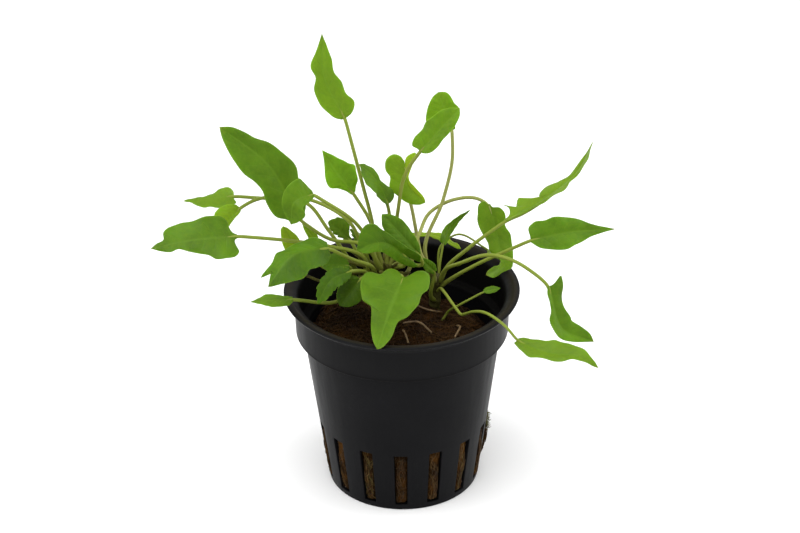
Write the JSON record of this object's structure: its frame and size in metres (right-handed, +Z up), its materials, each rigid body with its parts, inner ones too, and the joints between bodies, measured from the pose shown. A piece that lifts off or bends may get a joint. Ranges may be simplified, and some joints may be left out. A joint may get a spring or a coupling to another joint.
{
  "type": "potted cryptocoryne",
  "caption": "Low aquarium plant with heart-shaped green leaves on arching stalks, rooted in brown mineral wool in a slotted black plastic net pot.",
  "frame": {"origin": "middle of the pot's flat base, on the surface it stands on", "axes": "+Z up along the pot's axis, -Y towards the plant's front, +X to the right seen from the front"},
  "size_m": [0.1063, 0.0563, 0.1116],
  "materials": {
    "pot_black": "satin",
    "wool_brown": "fibrous",
    "crown_olive": "matt",
    "leaf_green": "satin",
    "root_tan": "matt"
  },
  "bodies": {
    "root": {"crown_left": "crown_olive", "crown_right": "crown_olive", "leaf_back_drooping": "leaf_green", "leaf_back_left": "leaf_green", "leaf_back_pointed": "leaf_green", "leaf_back_right": "leaf_green", "leaf_back_right_high": "leaf_green", "leaf_back_slim": "leaf_green", "leaf_back_small": "leaf_green", "leaf_back_tiny": "leaf_green", "leaf_front": "leaf_green", "leaf_heart_small": "leaf_green", "leaf_inner_left": "leaf_green", "leaf_inner_right": "leaf_green", "leaf_inner_shade": "leaf_green", "leaf_left": "leaf_green", "leaf_left_back": "leaf_green", "leaf_left_bud": "leaf_green", "leaf_left_front": "leaf_green", "leaf_left_low": "leaf_green", "leaf_left_pale": "leaf_green", "leaf_left_small": "leaf_green", "leaf_left_under": "leaf_green", "leaf_middle": "leaf_green", "leaf_middle_right": "leaf_green", "leaf_right": "leaf_green", "leaf_right_drooping": "leaf_green", "leaf_right_hanging": "leaf_green", "leaf_right_low": "leaf_green", "leaf_right_wavy": "leaf_green", "leaf_rim_back": "leaf_green", "leaf_rim_right": "leaf_green", "leaf_tall": "leaf_green", "leaf_upper_left": "leaf_green", "leaf_upper_left_front": "leaf_green", "pot": "pot_black", "rockwool": "wool_brown", "root_1": "root_tan", "root_2": "root_tan", "root_3": "root_tan", "root_4": "root_tan"}
  },
  "joints": []
}
